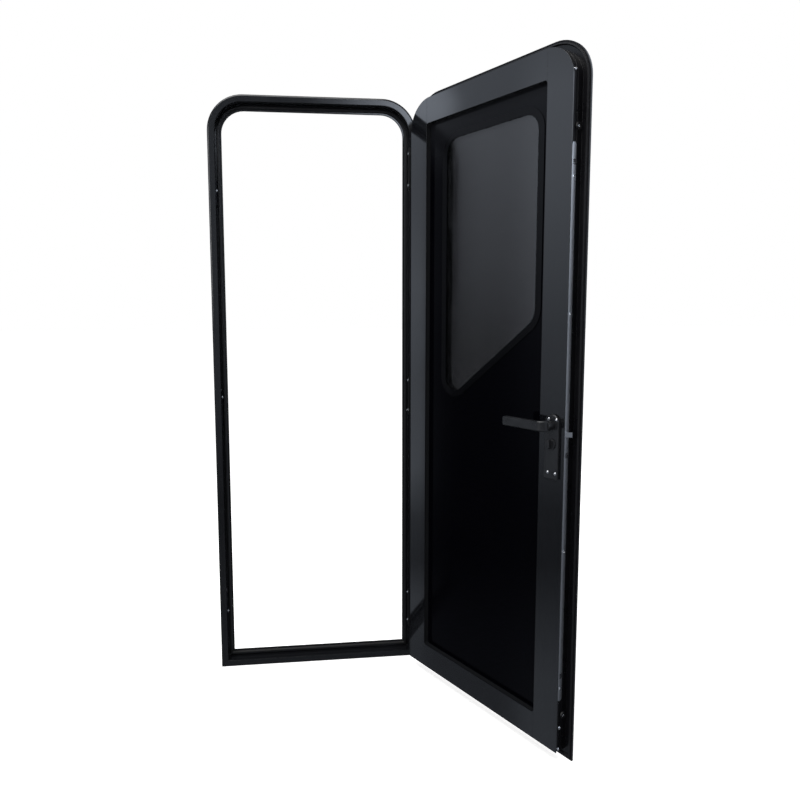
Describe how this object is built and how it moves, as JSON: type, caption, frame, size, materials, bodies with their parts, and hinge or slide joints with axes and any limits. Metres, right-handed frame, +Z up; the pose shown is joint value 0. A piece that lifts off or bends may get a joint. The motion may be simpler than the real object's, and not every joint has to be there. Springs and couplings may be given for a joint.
{
  "type": "caravan entry door",
  "caption": "Black aluminium caravan entry door: bent wall frame with a hinged leaf, slanted smoked window, lever handle and edge lock, shown swung open.",
  "frame": {"origin": "middle of the sill, on the back face of the flange that seats on the outer wall skin, 12 mm above the frame's lower edge", "axes": "+X to the hinge side as seen from outside, +Y into the vehicle, +Z up"},
  "size_m": [0.9336, 0.5904, 1.754],
  "materials": {
    "frame_black": "black powder coat, satin",
    "edge_black": "black powder coat, satin",
    "cover_grey": "gunmetal powder coat, semi-gloss",
    "seal_rubber": "black EPDM, matt",
    "skin_black": "black coated sheet, satin",
    "foam": "rigid foam",
    "panel_black": "black laminate sheet",
    "smoked_glazing": "smoked acrylic under film",
    "window_trim": "black moulded",
    "hinge_black": "black coated steel",
    "steel": "brushed",
    "bolt_steel": "bright plated",
    "stud_plastic": "black moulded",
    "handle_black": "black coated zinc casting, satin"
  },
  "bodies": {
    "frame": {"frame_surround": "frame_black", "sill": "frame_black", "frame_seal": "seal_rubber", "lower_striker": "steel", "main_striker": "steel", "upper_striker": "steel", "hinge_pins": "steel", "lower_hinge_frame_plate": "hinge_black", "middle_hinge_frame_plate": "hinge_black", "upper_hinge_frame_plate": "hinge_black"},
    "leaf": {"leaf_surround": "edge_black", "bottom_edge": "edge_black", "hinge_stile": "cover_grey", "lock_stile": "cover_grey", "top_rail": "cover_grey", "bottom_rail": "cover_grey", "leaf_seal": "seal_rubber", "outer_skin": "skin_black", "core": "foam", "inner_panel": "panel_black", "outer_pane": "smoked_glazing", "inner_pane": "smoked_glazing", "window_spacer": "window_trim", "inner_bezel": "window_trim", "outer_bezel": "window_trim", "lower_hinge_leaf_plate": "hinge_black", "middle_hinge_leaf_plate": "hinge_black", "upper_hinge_leaf_plate": "hinge_black", "lock_faceplate": "steel", "edge_studs": "stud_plastic", "inner_backplate": "handle_black", "outer_backplate": "handle_black"},
    "lever": {"inner_lever": "handle_black", "outer_lever": "handle_black", "spindle": "steel"},
    "latch": {"latch_bolt": "bolt_steel"},
    "thumb_turn": {"thumb_turn": "handle_black", "lock_cylinder": "steel"},
    "bolts": {"dead_bolt": "bolt_steel", "upper_bolt": "bolt_steel", "lower_bolt": "bolt_steel"}
  },
  "joints": [
    {"name": "leaf_swing", "type": "hinge", "parent": "frame", "child": "leaf", "pos_m": [0.309, -0.016, 0.85], "axis": [0, 0, 1], "range_deg": [-120, 40]},
    {"name": "lever_turn", "type": "hinge", "parent": "leaf", "child": "lever", "pos_m": [0.55313, -0.52284, 0.838], "axis": [-0.866, -0.5, 0], "range_deg": [0, 45], "stiffness_Nm_per_rad": 2, "springref_deg": -17.19},
    {"name": "latch_slide", "type": "slide", "parent": "leaf", "child": "latch", "axis": [-0.5, 0.866, 0], "range_m": [0, 0.012]},
    {"name": "thumb_turn", "type": "hinge", "parent": "leaf", "child": "thumb_turn", "pos_m": [0.55313, -0.52284, 0.792], "axis": [-0.866, -0.5, 0], "range_deg": [0, 90]},
    {"name": "bolt_slide", "type": "slide", "parent": "leaf", "child": "bolts", "axis": [0.5, -0.866, 0], "range_m": [0, 0.014]}
  ],
  "couplings": [
    {"joint": "latch_slide", "follows": "lever_turn", "m_per_rad": 0.01527},
    {"joint": "bolt_slide", "follows": "thumb_turn", "m_per_rad": 0.0089}
  ]
}
